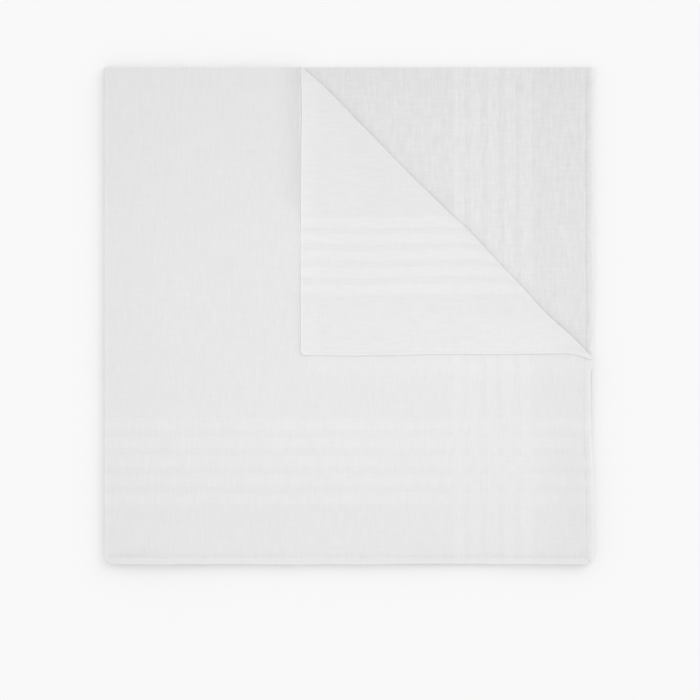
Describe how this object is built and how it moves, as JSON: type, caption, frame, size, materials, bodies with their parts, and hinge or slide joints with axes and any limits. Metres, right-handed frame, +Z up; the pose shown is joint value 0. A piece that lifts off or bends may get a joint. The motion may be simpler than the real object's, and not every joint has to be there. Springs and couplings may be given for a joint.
{
  "type": "linen handkerchief",
  "caption": "Folded linen handkerchief with satin border stripes and narrow hems, its front top corner turned down over a slanting fold.",
  "frame": {"origin": "centre of the folded square, on the surface that it lies on", "axes": "+Z up out of the surface, +Y towards the folded top edge, +X towards the hemmed right edge, away from the folded left edge"},
  "size_m": [0.2153, 0.2186, 0.0081],
  "materials": {
    "linen": "off-white plain weave with brighter satin stripes, matt, very slightly sheer"
  },
  "bodies": {
    "root": {"handkerchief": "linen"}
  },
  "joints": []
}
